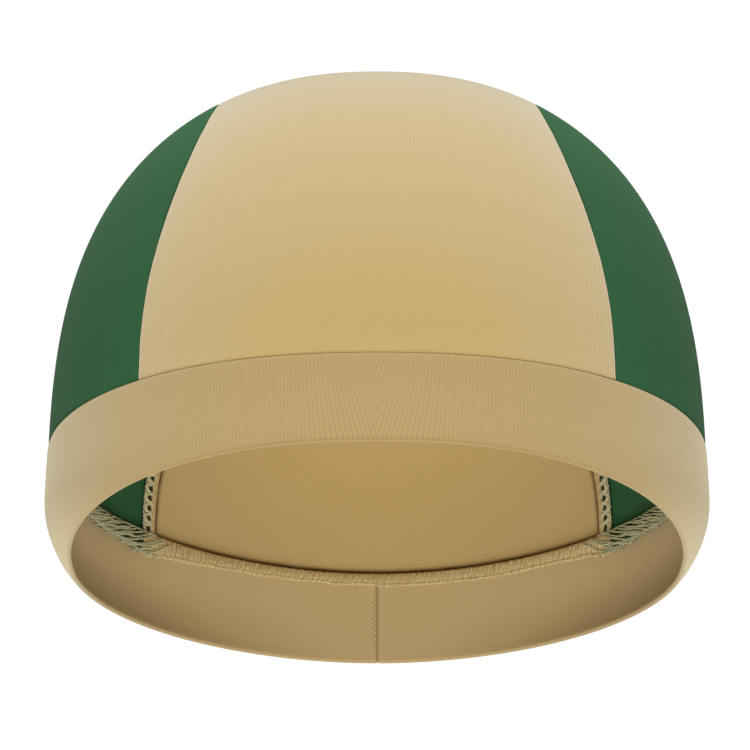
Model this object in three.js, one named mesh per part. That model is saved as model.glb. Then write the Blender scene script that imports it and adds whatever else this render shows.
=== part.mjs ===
// A helmet liner cap: a thin, close-fitting skull cap of stretch knit, in the shape it takes on a head.
// A tan panel runs from the forehead over the crown to the nape, a green panel covers each ear,
// and a doubled band folded at its lower edge goes all round. The sewn allowances lie inside.
// Millimetres, +Z up, the forehead towards -Y, the wearer's left towards +X.
// Levels are heights above the rim plane. The origin is at the top of the hollow, under the crown.

import * as THREE from "three";

// The crown's outer face
const crownWidth = 161;
const frontReach = 83.6;
const backReach = 103.2;
const crownHeight = 128;
const crownSetBack = 1.8;
const clothThickness = 1.1;

// What the outline does between its widest level and the rim plane, outwards being positive
const browFlare = 6.8;
const sideFlare = -6;
const napeFlare = -2.5;

// The band
const bandHeightFront = 21;
const bandHeightSide = 28.2;
const bandHeightBack = 25.6;
const bandThickness = 1.6;
const bandFullness = 0.4;
const browLift = 9.7;

// The upright join of the band at the centre of the back
const joinWidth = 1.4;
const joinDepth = 0.3;
const joinFoldWidth = 5;
const joinFoldHeight = 0.4;

// Half of the tan panel's width, where it meets the band and over the crown
const panelHalfFront = 54.2;
const panelHalfCrown = 38.7;
const panelHalfNape = 61;

// The sewn allowances inside the cap
const allowanceWidth = 6;
const allowanceThickness = 1.2;
const bandAllowanceWidth = 4.5;
const bandAllowanceLift = 1.4;

// What is sewn together stays this far apart in the model
const sewingGap = 0.3;

// How each outline rises: its widest level as a share of the crown's height, and the two powers of
// the curve from there to the top. A larger rise keeps the wall upright for longer.
const rises = {
  front: { widest: 0.29, rise: 2.1, round: 1.95 },
  side: { widest: 0.12, rise: 3.0, round: 2.04 },
  back: { widest: 0.28, rise: 2.2, round: 2.0 },
};

// The plan is a rounded oblong in front of the ears and an ellipse behind them
const planPower = { front: 2.26, back: 1.93 };

// The panel seams keep close to the crown width in the middle of their way from brow to nape, and
// swing out over this share of the way at each end
const seamSwing = 0.43;

// The band's section from its fold to the seam. Up is a share of its height, bulge a share of its
// fullness, and thick a share of its thickness.
const bandSection = [
  { up: 0.14, bulge: 0.55, thick: 1.0 },
  { up: 0.34, bulge: 0.94, thick: 1.0 },
  { up: 0.56, bulge: 1.0, thick: 1.0 },
  { up: 0.78, bulge: 0.72, thick: 0.96 },
  { up: 0.94, bulge: 0.32, thick: 0.86 },
  { up: 1.0, bulge: 0.1, thick: 0.66 },
];
const foldBulge = 0.3;
const foldSteps = 2;

// The fineness of the meshes
const stationsAlong = 52;
const stationsAcross = 16;
const stationsUp = 10;
const stationsRound = 90;

const tan = new THREE.MeshStandardMaterial({ color: 0xcdb283, roughness: 0.75, metalness: 0 });
const green = new THREE.MeshStandardMaterial({ color: 0x335c3c, roughness: 0.75, metalness: 0 });
const cream = new THREE.MeshStandardMaterial({ color: 0xb89f70, roughness: 0.85, metalness: 0 });

// The heart is the point inside the head that the crown is seen from when its panels are laid out
const heart = new THREE.Vector3(0, 0, crownHeight * 0.25);
const farAway = crownWidth + frontReach + backReach + crownHeight;
const halvings = 44;
const probe = 0.02;

// The distance from the middle line to the crown's outer face at a level
function reachAt(level, reach, flare, form) {
  const widestLevel = form.widest * crownHeight;
  if (level < widestLevel) {
    const down = (widestLevel - level) / widestLevel;
    return reach + flare * down ** 2;
  }
  const up = Math.min((level - widestLevel) / (crownHeight - widestLevel), 1);
  return reach * (1 - up ** form.rise) ** (1 / form.round);
}

function halfWidthAt(level) {
  return reachAt(level, crownWidth / 2, sideFlare, rises.side);
}

function lengthAt(level, towardsFront) {
  if (towardsFront) {
    return reachAt(level, frontReach, browFlare, rises.front);
  }
  return reachAt(level, backReach, napeFlare, rises.back);
}

function setBackAt(level) {
  return crownSetBack * Math.max(level / crownHeight, 0) ** 3;
}

function isInside(point) {
  if (point.z >= crownHeight) {
    return false;
  }
  const along = point.y - setBackAt(point.z);
  const towardsFront = along < 0;
  const power = towardsFront ? planPower.front : planPower.back;
  const sideways = Math.abs(point.x) / halfWidthAt(point.z);
  const lengthways = Math.abs(along) / lengthAt(point.z, towardsFront);
  return sideways ** power + lengthways ** power < 1;
}

// The last point inside the crown's outer face on the way from a point inside it
function faceFrom(start, direction) {
  const step = direction.clone().normalize();
  let near = 0;
  let far = farAway;
  for (let i = 0; i < halvings; i += 1) {
    const middle = (near + far) / 2;
    if (isInside(start.clone().addScaledVector(step, middle))) {
      near = middle;
    } else {
      far = middle;
    }
  }
  return start.clone().addScaledVector(step, near);
}

function ontoCrown(point) {
  return faceFrom(heart, point.clone().sub(heart));
}

// How far out a point lies, 1 on the crown's outer face
function depthOf(point) {
  return point.distanceTo(heart) / ontoCrown(point).distanceTo(heart);
}

function normalAt(point) {
  const slope = [new THREE.Vector3(1, 0, 0), new THREE.Vector3(0, 1, 0), new THREE.Vector3(0, 0, 1)].map(
    (axis) => {
      const ahead = depthOf(point.clone().addScaledVector(axis, probe));
      const behind = depthOf(point.clone().addScaledVector(axis, -probe));
      return ahead - behind;
    },
  );
  return new THREE.Vector3(...slope).normalize();
}

function below(point, depth) {
  return point.clone().addScaledVector(normalAt(point), -depth);
}

// The crown's outer face at an angle round the head, 0 at the brow and positive to the wearer's left
function around(angle, level) {
  const s = Math.sin(angle);
  const c = Math.cos(angle);
  const towardsFront = c > 0;
  const power = 2 / (towardsFront ? planPower.front : planPower.back);
  const x = halfWidthAt(level) * Math.sign(s) * Math.abs(s) ** power;
  const y = lengthAt(level, towardsFront) * -Math.sign(c) * Math.abs(c) ** power;
  return new THREE.Vector3(x, y + setBackAt(level), level);
}

function rimLevel(angle) {
  const c = Math.cos(angle);
  return c > 0 ? browLift * c ** 2 : 0;
}

function bandHeight(angle) {
  const c = Math.cos(angle);
  const middle = c > 0 ? bandHeightFront : bandHeightBack;
  return bandHeightSide + (middle - bandHeightSide) * c ** 2;
}

function seamLevel(angle) {
  return rimLevel(angle) + bandHeight(angle);
}

// The crown's lower edge, half a sewing gap above the band's seam
function crownEdge(angle) {
  return around(angle, seamLevel(angle) + sewingGap / 2);
}

// The angle round the head at which the crown's lower edge is this far from the middle line
function cornerAngle(halfWidth, towardsFront) {
  let narrow = towardsFront ? 0 : Math.PI;
  let wide = Math.PI / 2;
  for (let i = 0; i < halvings; i += 1) {
    const middle = (narrow + wide) / 2;
    if (crownEdge(middle).x < halfWidth) {
      narrow = middle;
    } else {
      wide = middle;
    }
  }
  return narrow;
}

// Half of the tan panel's width along its way, 0 at the brow and 1 at the nape
function panelHalf(way) {
  const end = way < 0.5 ? panelHalfFront : panelHalfNape;
  const towardsCrown = THREE.MathUtils.smootherstep(Math.min(way, 1 - way), 0, seamSwing);
  return THREE.MathUtils.lerp(end, panelHalfCrown, towardsCrown);
}

// A panel seam on the crown's outer face on the wearer's left, with its line moved outwards by a
// distance across the head
function seamLine(way, across) {
  const front = crownEdge(cornerAngle(panelHalfFront + across, true));
  const nape = crownEdge(cornerAngle(panelHalfNape + across, false));
  const frontTurn = Math.atan2(front.z - heart.z, -front.y);
  const napeTurn = Math.PI - Math.atan2(nape.z - heart.z, nape.y);
  const turn = THREE.MathUtils.lerp(frontTurn, napeTurn, way);
  const start = new THREE.Vector3(panelHalf(way) + across, 0, heart.z);
  return faceFrom(start, new THREE.Vector3(0, -Math.cos(turn), Math.sin(turn)));
}

// How far across the head the seam's line moves when it moves one millimetre over the cloth
function paceAt(way) {
  const tangent = seamLine(way + probe, 0).sub(seamLine(way - probe, 0)).normalize();
  const moved = seamLine(way, probe).sub(seamLine(way, 0));
  return probe / moved.cross(tangent).length();
}

// The same seam on either side of the head, moved outwards over the cloth. Side is 1 on the
// wearer's left and -1 on the right.
function seamPoint(way, side, shift) {
  const point = seamLine(way, shift * paceAt(way));
  point.x *= side;
  return point;
}

// The angles round the head of a panel's two lower corners, with its seam moved outwards
function cornerAngles(shift) {
  return {
    front: cornerAngle(panelHalfFront + shift * paceAt(0), true),
    nape: cornerAngle(panelHalfNape + shift * paceAt(1), false),
  };
}

// Lays a grid of points on the crown inside four edges, each a function of a share of its length
function layOut(edges, across, up) {
  const corner = [edges.low(0), edges.low(1), edges.high(0), edges.high(1)];
  const rows = [];
  for (let j = 0; j <= up; j += 1) {
    const v = j / up;
    const row = [];
    for (let i = 0; i <= across; i += 1) {
      const u = i / across;
      const point = new THREE.Vector3();
      point.addScaledVector(edges.low(u), 1 - v);
      point.addScaledVector(edges.high(u), v);
      point.addScaledVector(edges.start(v), 1 - u);
      point.addScaledVector(edges.end(v), u);
      point.addScaledVector(corner[0], -(1 - u) * (1 - v));
      point.addScaledVector(corner[1], -u * (1 - v));
      point.addScaledVector(corner[2], -(1 - u) * v);
      point.addScaledVector(corner[3], -u * v);
      row.push(ontoCrown(point));
    }
    rows.push(row);
  }
  return rows;
}

// Turns rings of points into one closed body. Each ring is a closed section, and the rings either
// close on the first one or are capped at both ends.
function bodyOf(rings, closed) {
  const count = rings[0].length;
  const positions = rings.flat().flatMap((point) => point.toArray());
  const faces = [];
  const spans = closed ? rings.length : rings.length - 1;
  for (let j = 0; j < spans; j += 1) {
    const here = j * count;
    const next = ((j + 1) % rings.length) * count;
    for (let i = 0; i < count; i += 1) {
      const k = (i + 1) % count;
      faces.push(here + i, here + k, next + k);
      faces.push(here + i, next + k, next + i);
    }
  }
  if (!closed) {
    const last = (rings.length - 1) * count;
    const section = count / 2;
    for (let i = 0; i < section - 1; i += 1) {
      const k = count - 1 - i;
      faces.push(i, k, k - 1, i, k - 1, i + 1);
      faces.push(last + i, last + k - 1, last + k, last + i, last + i + 1, last + k - 1);
    }
  }
  return facingOut(positions, faces);
}

function facingOut(positions, faces) {
  const geometry = new THREE.BufferGeometry();
  geometry.setAttribute("position", new THREE.Float32BufferAttribute(positions, 3));
  const corner = (i) => new THREE.Vector3().fromArray(positions, faces[i] * 3);
  let volume = 0;
  for (let i = 0; i < faces.length; i += 3) {
    volume += corner(i).dot(corner(i + 1).cross(corner(i + 2)));
  }
  if (volume < 0) {
    faces.reverse();
  }
  geometry.setIndex(faces);
  geometry.computeVertexNormals();
  return geometry;
}

// A panel of cloth: its outer face is a grid on the crown, its inner face one thickness below
function cloth(rows) {
  const rings = rows.map((row) => {
    const inner = row.map((point) => below(point, clothThickness));
    return [...row, ...inner.reverse()];
  });
  return bodyOf(rings, false);
}

function centrePanel() {
  const shift = -sewingGap / 2;
  const angles = cornerAngles(shift);
  const edges = {
    low: (u) => crownEdge(THREE.MathUtils.lerp(-angles.front, angles.front, u)),
    high: (u) => crownEdge(THREE.MathUtils.lerp(-angles.nape, angles.nape - 2 * Math.PI, u)),
    start: (v) => seamPoint(v, -1, shift),
    end: (v) => seamPoint(v, 1, shift),
  };
  return cloth(layOut(edges, stationsAcross, stationsAlong));
}

// A side panel's grid has the crown's lower edge below, and the seam on its other three sides
function sidePanel(side) {
  const shift = sewingGap / 2;
  const angles = cornerAngles(shift);
  const shoulder = stationsUp / stationsAlong;
  const edges = {
    low: (u) => crownEdge(side * THREE.MathUtils.lerp(angles.front, angles.nape, u)),
    high: (u) => seamPoint(THREE.MathUtils.lerp(shoulder, 1 - shoulder, u), side, shift),
    start: (v) => seamPoint(shoulder * v, side, shift),
    end: (v) => seamPoint(1 - shoulder * v, side, shift),
  };
  return cloth(layOut(edges, stationsAlong - 2 * stationsUp, stationsUp));
}

// A panel seam's allowance: a flat strip against the side panel's inner face
function panelAllowance(side) {
  const rings = [];
  const nudge = 0.5 / stationsAlong;
  for (let i = 0; i <= stationsAlong; i += 1) {
    const way = THREE.MathUtils.lerp(nudge, 1 - nudge, i / stationsAlong);
    const near = seamPoint(way, side, sewingGap);
    const ahead = seamPoint(way + nudge, side, sewingGap);
    const behind = seamPoint(way - nudge, side, sewingGap);
    const outwards = ahead.sub(behind).cross(normalAt(near)).normalize();
    outwards.multiplyScalar(Math.sign(outwards.x) * side);
    const far = ontoCrown(near.clone().addScaledVector(outwards, allowanceWidth));
    const top = clothThickness + sewingGap;
    const bottom = top + allowanceThickness;
    rings.push([below(near, top), below(far, top), below(far, bottom), below(near, bottom)]);
  }
  return bodyOf(rings, false);
}

// How far the band's two faces stand out from the crown's outer face at a share of its height
function bandFaces(up) {
  const rows = [{ up: 0, bulge: foldBulge, thick: 1 }, ...bandSection];
  const last = Math.max(rows.findIndex((row) => row.up >= up), 1);
  const low = rows[last - 1];
  const high = rows[last];
  const share = (up - low.up) / (high.up - low.up);
  const bulge = THREE.MathUtils.lerp(low.bulge, high.bulge, share) * bandFullness;
  const half = (THREE.MathUtils.lerp(low.thick, high.thick, share) * bandThickness) / 2;
  const middle = bulge - bandThickness / 2;
  return { outer: middle + half, inner: middle - half, middle };
}

// What the join takes off each face, by the distance from the centre of the back. The fold of the
// join lies towards the wearer's right and stands up on the inside.
function joinOffsets(distance) {
  const groove = joinDepth * Math.max(1 - Math.abs(distance) / (joinWidth / 2), 0);
  const fold = (-distance - joinWidth / 2) / joinFoldWidth;
  const ridge = fold > 0 && fold < 1 ? joinFoldHeight * Math.sqrt(1 - fold) : 0;
  return { outer: -groove, inner: groove - ridge };
}

// The angles of the band's sections: evenly round the head, with the join's own between them
function bandAngles() {
  const perAngle = backReach;
  const stops = [-1, -0.55, -0.15].map((share) => share * joinFoldWidth - joinWidth / 2);
  stops.push(-joinWidth / 2, 0, joinWidth / 2);
  const clear = joinFoldWidth + joinWidth;
  const angles = [];
  for (let i = 0; i < stationsRound; i += 1) {
    const angle = (i / stationsRound) * 2 * Math.PI;
    if (Math.abs(angle - Math.PI) * perAngle > clear) {
      angles.push(angle);
    }
  }
  // Past the back, a larger angle is nearer to the wearer's right
  angles.push(...stops.map((stop) => Math.PI - stop / perAngle));
  return angles.sort((a, b) => a - b);
}

function joinDistance(angle) {
  return (Math.PI - angle) * backReach;
}

function bandPoint(angle, up, offset) {
  const base = around(angle, rimLevel(angle) + up * bandHeight(angle) - (up * sewingGap) / 2);
  return below(base, -offset);
}

function bandRing(angle) {
  const join = joinOffsets(joinDistance(angle));
  const radius = bandThickness / 2;
  const fold = bandFaces(0);
  const outer = [];
  const inner = [];
  for (let i = 1; i <= foldSteps; i += 1) {
    const turn = (i / foldSteps) * (Math.PI / 2);
    const up = (radius * (1 - Math.cos(turn))) / bandHeight(angle);
    const half = radius * Math.sin(turn);
    outer.push(bandPoint(angle, up, fold.middle + half + join.outer));
    inner.push(bandPoint(angle, up, fold.middle - half + join.inner));
  }
  for (const row of bandSection) {
    const faces = bandFaces(row.up);
    outer.push(bandPoint(angle, row.up, faces.outer + join.outer));
    inner.push(bandPoint(angle, row.up, faces.inner + join.inner));
  }
  return [bandPoint(angle, 0, fold.middle), ...outer, ...inner.reverse()];
}

function band() {
  return bodyOf(bandAngles().map(bandRing), true);
}

// The band seam's allowance: a strip from the seam down the band's inner face, lifting off it
function bandAllowanceRing(angle) {
  const top = 1 - sewingGap / bandHeight(angle);
  const drop = bandAllowanceWidth / bandHeight(angle);
  const ridge = joinOffsets(joinDistance(angle)).inner;
  const near = [];
  const far = [];
  for (const share of [0, 0.5, 1]) {
    const up = top - share * drop;
    const face = bandFaces(up).inner + Math.min(ridge, 0);
    const depth = face - sewingGap - share * bandAllowanceLift;
    near.push(bandPoint(angle, up, depth));
    far.push(bandPoint(angle, up, depth - allowanceThickness));
  }
  return [...near, ...far.reverse()];
}

function bandAllowance() {
  return bodyOf(bandAngles().map(bandAllowanceRing), true);
}

function piece(name, geometry, material) {
  const mesh = new THREE.Mesh(geometry, material);
  mesh.name = name;
  return mesh;
}

const cap = new THREE.Group();
cap.add(piece("centre_panel", centrePanel(), tan));
cap.add(piece("side_panel_left", sidePanel(1), green));
cap.add(piece("side_panel_right", sidePanel(-1), green));
cap.add(piece("band", band(), tan));
cap.add(piece("panel_seam_left", panelAllowance(1), cream));
cap.add(piece("panel_seam_right", panelAllowance(-1), cream));
cap.add(piece("band_seam", bandAllowance(), cream));
cap.position.z = clothThickness - crownHeight;

export default cap;
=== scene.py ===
import math

import bmesh
import bpy
import numpy as np
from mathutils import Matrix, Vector


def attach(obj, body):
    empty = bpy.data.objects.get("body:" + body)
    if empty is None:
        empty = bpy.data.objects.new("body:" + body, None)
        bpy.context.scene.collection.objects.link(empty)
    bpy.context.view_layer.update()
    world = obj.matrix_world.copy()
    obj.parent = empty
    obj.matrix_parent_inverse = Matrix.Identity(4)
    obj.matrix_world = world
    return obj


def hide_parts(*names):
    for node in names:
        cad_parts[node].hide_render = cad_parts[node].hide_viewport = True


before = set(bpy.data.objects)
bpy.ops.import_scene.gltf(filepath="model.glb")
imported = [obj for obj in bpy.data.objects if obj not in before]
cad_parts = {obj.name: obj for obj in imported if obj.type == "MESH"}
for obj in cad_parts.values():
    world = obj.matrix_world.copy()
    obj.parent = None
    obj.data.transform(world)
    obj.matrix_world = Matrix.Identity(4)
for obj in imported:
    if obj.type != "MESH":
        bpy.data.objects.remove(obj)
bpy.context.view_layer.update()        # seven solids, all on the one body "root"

# Everything is in metres. Levels are heights above the rim plane, and the frame's origin is at the
# top of the hollow, so each mesh is laid out on levels and then lowered.
crown = {
    "width": 0.161,
    "frontReach": 0.0836,
    "backReach": 0.1032,
    "height": 0.128,
    "setBack": 0.0018,
    "browFlare": 0.0068,       # outwards between the widest level and the rim plane
    "sideFlare": -0.006,
    "napeFlare": -0.0025,
    "frontPower": 2.26,        # the plan's roundness in front of the ears and behind them
    "backPower": 1.93,
    "solidCloth": 0.0011,      # the solids' cloth, which lies over the origin
    "heart": 0.25,             # the share of the height from which points are cast onto the crown
}
rises = {                      # how each outline rises from its widest level to the top
    "front": {"widest": 0.29, "rise": 2.1, "round": 1.95},
    "side": {"widest": 0.12, "rise": 3.0, "round": 2.04},
    "back": {"widest": 0.28, "rise": 2.2, "round": 2.0},
}
lowering = crown["height"] - crown["solidCloth"]
heart = np.array((0.0, 0.0, crown["height"] * crown["heart"]))
farAway = crown["width"] * 3   # well outside the cap
halvings = 40                  # steps of each search by halves
probe = 0.00002                # a small length, for slopes
unevenTurn = 2.4               # an angle whose multiples have sines that look random


def outlineAt(level, reach, flare, rise):
    widest = rise["widest"] * crown["height"]
    down = (widest - level) / widest
    up = np.clip((level - widest) / (crown["height"] - widest), 0, 1)
    above = reach * (1 - up ** rise["rise"]) ** (1 / rise["round"])
    return np.where(level < widest, reach + flare * down**2, above)


def halfWidthAt(level):
    return outlineAt(level, crown["width"] / 2, crown["sideFlare"], rises["side"])


def lengthAt(level, front):
    ahead = outlineAt(level, crown["frontReach"], crown["browFlare"], rises["front"])
    behind = outlineAt(level, crown["backReach"], crown["napeFlare"], rises["back"])
    return np.where(front, ahead, behind)


def setBackAt(level):
    return crown["setBack"] * np.clip(level / crown["height"], 0, None) ** 3


def insideCap(points):
    x, y, level = points.T
    along = y - setBackAt(level)
    front = along < 0
    power = np.where(front, crown["frontPower"], crown["backPower"])
    half = np.maximum(halfWidthAt(level), probe)
    reach = np.maximum(lengthAt(level, front), probe)
    inPlan = (np.abs(x) / half) ** power + (np.abs(along) / reach) ** power < 1
    return inPlan & (level < crown["height"])


def castOut(starts, directions):
    # the last points inside the cap's outer face on the way out
    steps = directions / np.linalg.norm(directions, axis=1, keepdims=True)
    near = np.zeros(len(steps))
    far = np.full(len(steps), farAway)
    for _ in range(halvings):
        middle = (near + far) / 2
        inside = insideCap(starts + steps * middle[:, None])
        near = np.where(inside, middle, near)
        far = np.where(inside, far, middle)
    return starts + steps * near[:, None]


def ontoCrown(points):
    return castOut(np.broadcast_to(heart, points.shape), points - heart)


def crownNormals(points):
    slopes = []
    for axis in np.eye(3):
        ends = []
        for side in (probe, -probe):
            moved = points + axis * side
            out = np.linalg.norm(ontoCrown(moved) - heart, axis=1)
            ends.append(np.linalg.norm(moved - heart, axis=1) / out)
        slopes.append(ends[0] - ends[1])
    slopes = np.stack(slopes, axis=1)
    return slopes / np.linalg.norm(slopes, axis=1, keepdims=True)


def around(angle, level):
    # the outer face at an angle round the head: 0 at the brow, positive to the wearer's left
    s, c = np.sin(angle), np.cos(angle)
    power = 2 / np.where(c > 0, crown["frontPower"], crown["backPower"])
    x = halfWidthAt(level) * np.sign(s) * np.abs(s) ** power
    y = lengthAt(level, c > 0) * -np.sign(c) * np.abs(c) ** power + setBackAt(level)
    return np.stack(np.broadcast_arrays(x, y, level), axis=-1)


def smooth(share):
    share = np.clip(share, 0, 1)
    return share * share * (3 - 2 * share)


def gather(share, amount=0.84):
    # draws evenly spaced shares towards both ends, where the cloth turns in
    return share - amount * np.sin(2 * math.pi * share) / (2 * math.pi)


def wander(places, pitch, seed):
    # a smooth random line between -1 and 1, with knots to spare at its end
    rng = np.random.default_rng(seed)
    last = int(np.max(places) / pitch) + 3
    knots = rng.uniform(-1, 1, last)
    at = np.asarray(places) / pitch
    low = np.floor(at).astype(int)
    share = smooth(at - low)
    return knots[low] * (1 - share) + knots[low + 1] * share


def lengthsAlong(points, axis):
    # how far each point of a grid lies along its row or column
    steps = np.linalg.norm(np.diff(points, axis=axis), axis=-1)
    start = np.zeros_like(np.take(steps, [0], axis=axis))
    return np.concatenate((start, np.cumsum(steps, axis=axis)), axis=axis)


def clothPiece(name, points, knit, material, thickness, fine=1, walls=None, creaseShades=None, innerRows=0):
    # points and knit are grids, rows first: where the cloth's face lies, and where that is in the
    # flat knit. The cloth lies behind the face, which is seen with its columns to the right.
    # walls are shares of the thickness, creaseShades are shares of painted shade, and innerRows of a folded
    # cloth are seen from inside.
    outside, lining = material
    rows, columns = points.shape[:2]
    bm = bmesh.new()
    bmesh.ops.create_grid(bm, x_segments=columns - 1, y_segments=rows - 1, size=1, calc_uvs=True)
    layer = bm.loops.layers.uv.verify()
    places = [
        (round((v.co.y + 1) / 2 * (rows - 1)), round((v.co.x + 1) / 2 * (columns - 1)))
        for v in bm.verts
    ]
    for vert, place in zip(bm.verts, places):
        vert.co = points[place] - np.array((0, 0, lowering))
    for face in bm.faces:
        face.smooth = True
        face.material_index = int(all(places[vert.index][0] < innerRows for vert in face.verts))
        for loop in face.loops:
            loop[layer].uv = knit[places[loop.vert.index]]
    mesh = bpy.data.meshes.new(name)
    bm.to_mesh(mesh)
    bm.free()
    piece = bpy.data.objects.new(name, mesh)
    bpy.context.scene.collection.objects.link(piece)
    mesh.materials.append(outside)
    mesh.materials.append(lining)
    if creaseShades is not None:
        creaseShade = mesh.attributes.new("creaseShade", "FLOAT", "POINT")
        creaseShade.data.foreach_set("value", np.array([creaseShades[place] for place in places], np.float32))
    wall = piece.modifiers.new("thickness", "SOLIDIFY")
    wall.thickness = thickness
    wall.offset = -1
    wall.material_offset = 0 if innerRows else 1
    if walls is not None:
        group = piece.vertex_groups.new(name="wall")
        for k, place in enumerate(places):
            group.add([k], float(walls[place]), "REPLACE")
        wall.vertex_group = group.name
    if fine:
        finer = piece.modifiers.new("smooth", "SUBSURF")
        finer.levels = fine
        finer.render_levels = fine
    return piece


def threadPiece(name, lines, radius, material):
    # many thin threads joined in one mesh, each from its own line of points
    curve = bpy.data.curves.new(name, "CURVE")
    curve.dimensions = "3D"
    curve.bevel_depth = radius
    curve.bevel_resolution = 0
    curve.use_fill_caps = True
    for line in lines:
        spline = curve.splines.new("POLY")
        spline.points.add(len(line) - 1)
        places = np.column_stack((line - np.array((0, 0, lowering)), np.ones(len(line))))
        spline.points.foreach_set("co", places.ravel())
    drawn = bpy.data.objects.new("drawn", curve)
    bpy.context.scene.collection.objects.link(drawn)
    seen = drawn.evaluated_get(bpy.context.evaluated_depsgraph_get())
    mesh = bpy.data.meshes.new_from_object(seen)
    bpy.data.objects.remove(drawn)
    bpy.data.curves.remove(curve)
    mesh.name = name
    mesh.materials.clear()
    mesh.materials.append(material)
    mesh.polygons.foreach_set("use_smooth", np.ones(len(mesh.polygons), bool))
    piece = bpy.data.objects.new(name, mesh)
    bpy.context.scene.collection.objects.link(piece)
    return piece


# Materials
def calc(tree, operation, *values):
    node = tree.nodes.new("ShaderNodeMath")
    node.operation = operation
    for socket, value in zip(node.inputs, values):
        if isinstance(value, bpy.types.NodeSocket):
            tree.links.new(value, socket)
        else:
            socket.default_value = value
    return node.outputs["Value"]


def speckle(tree, place, scale, detail=2.0):
    # smooth noise between about -0.5 and 0.5
    noise = tree.nodes.new("ShaderNodeTexNoise")
    noise.inputs["Scale"].default_value = scale
    noise.inputs["Detail"].default_value = detail
    tree.links.new(place, noise.inputs["Vector"])
    return calc(tree, "SUBTRACT", noise.outputs["Fac"], 0.5)


def clothMaterial(name, look):
    material = bpy.data.materials.new(name)
    material.use_nodes = True
    tree = material.node_tree
    shader = tree.nodes["Principled BSDF"]
    shader.inputs["Roughness"].default_value = look["roughness"]
    shader.inputs["Specular IOR Level"].default_value = look["gloss"]
    shader.inputs["Sheen Weight"].default_value = look["sheen"]
    shader.inputs["Sheen Roughness"].default_value = look["sheenRoughness"]
    shader.inputs["Sheen Tint"].default_value = (*look["sheenTint"], 1)
    return material, tree, shader


def tinted(tree, shader, colour, share, creaseShadeColour=None):
    # the base colour, made lighter or darker by a share, and mixed towards a darker colour by the creaseShade
    # attribute: painted shade
    scaled = tree.nodes.new("ShaderNodeVectorMath")
    scaled.operation = "SCALE"
    scaled.inputs[0].default_value = colour
    tree.links.new(calc(tree, "ADD", share, 1.0), scaled.inputs["Scale"])
    seen = scaled.outputs["Vector"]
    if creaseShadeColour:
        creaseShade = tree.nodes.new("ShaderNodeAttribute")
        creaseShade.attribute_name = "creaseShade"
        mix = tree.nodes.new("ShaderNodeMix")
        mix.data_type = "RGBA"
        mix.inputs["B"].default_value = (*creaseShadeColour, 1)
        tree.links.new(creaseShade.outputs["Fac"], mix.inputs["Factor"])
        tree.links.new(seen, mix.inputs["A"])
        seen = mix.outputs["Result"]
    tree.links.new(seen, shader.inputs["Base Color"])


def raised(tree, shader, height, distance):
    bump = tree.nodes.new("ShaderNodeBump")
    bump.inputs["Strength"].default_value = 1.0
    bump.inputs["Distance"].default_value = distance
    tree.links.new(height, bump.inputs["Height"])
    tree.links.new(bump.outputs["Normal"], shader.inputs["Normal"])


def knitMaterial(name, look):
    # upright wales of v-shaped stitches, which show most at the middle of the front
    material, tree, shader = clothMaterial(name, look)
    flat = tree.nodes.new("ShaderNodeTexCoord")
    split = tree.nodes.new("ShaderNodeSeparateXYZ")
    tree.links.new(flat.outputs["UV"], split.inputs["Vector"])
    place = flat.outputs["Object"]
    spot = tree.nodes.new("ShaderNodeSeparateXYZ")
    tree.links.new(place, spot.inputs["Vector"])
    wales = calc(tree, "DIVIDE", split.outputs["X"], look["wale"])
    rib = calc(tree, "COSINE", calc(tree, "MULTIPLY", wales, 2 * math.pi))
    leg = calc(tree, "ABSOLUTE", calc(tree, "SUBTRACT", calc(tree, "FRACT", wales), 0.5))
    rows = calc(tree, "ADD", calc(tree, "DIVIDE", split.outputs["Y"], look["course"]), leg)
    stitch = calc(tree, "COSINE", calc(tree, "MULTIPLY", rows, 2 * math.pi))
    broad = calc(tree, "MULTIPLY", speckle(tree, place, look["broadScale"]), look["broadTone"])
    fine = speckle(tree, place, look["fineScale"], look["fineDetail"])
    fine = calc(tree, "MULTIPLY", fine, look["fineTone"])
    side = calc(tree, "DIVIDE", calc(tree, "ABSOLUTE", spot.outputs["X"]), look["fade"])
    near = calc(tree, "MAXIMUM", calc(tree, "SUBTRACT", 1.0, side), 0.0)
    front = calc(tree, "MULTIPLY", calc(tree, "LESS_THAN", spot.outputs["Y"], 0.0), near)
    shown = calc(tree, "ADD", calc(tree, "MULTIPLY", front, look["frontTone"]), look["waleTone"])
    share = calc(tree, "MULTIPLY", rib, shown)
    share = calc(tree, "ADD", share, calc(tree, "MULTIPLY", stitch, look["stitchTone"]))
    share = calc(tree, "ADD", share, calc(tree, "ADD", broad, fine))
    tinted(tree, shader, look["colour"], share, look["creaseShadeColour"])
    height = calc(tree, "MULTIPLY", stitch, look["stitchHeight"])
    height = calc(tree, "ADD", height, calc(tree, "MULTIPLY", rib, look["ribHeight"]))
    raised(tree, shader, height, look["relief"])
    return material


def threadMaterial(name, look):
    # fluffy thread: broken tone along it and a soft uneven surface
    material, tree, shader = clothMaterial(name, look)
    place = tree.nodes.new("ShaderNodeTexCoord").outputs["Object"]
    broad = calc(tree, "MULTIPLY", speckle(tree, place, look["broadScale"]), look["broadTone"])
    fine = speckle(tree, place, look["fineScale"], look["fineDetail"])
    share = calc(tree, "ADD", broad, calc(tree, "MULTIPLY", fine, look["fineTone"]))
    tinted(tree, shader, look["colour"], share)
    raised(tree, shader, fine, look["relief"])
    return material


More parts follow.
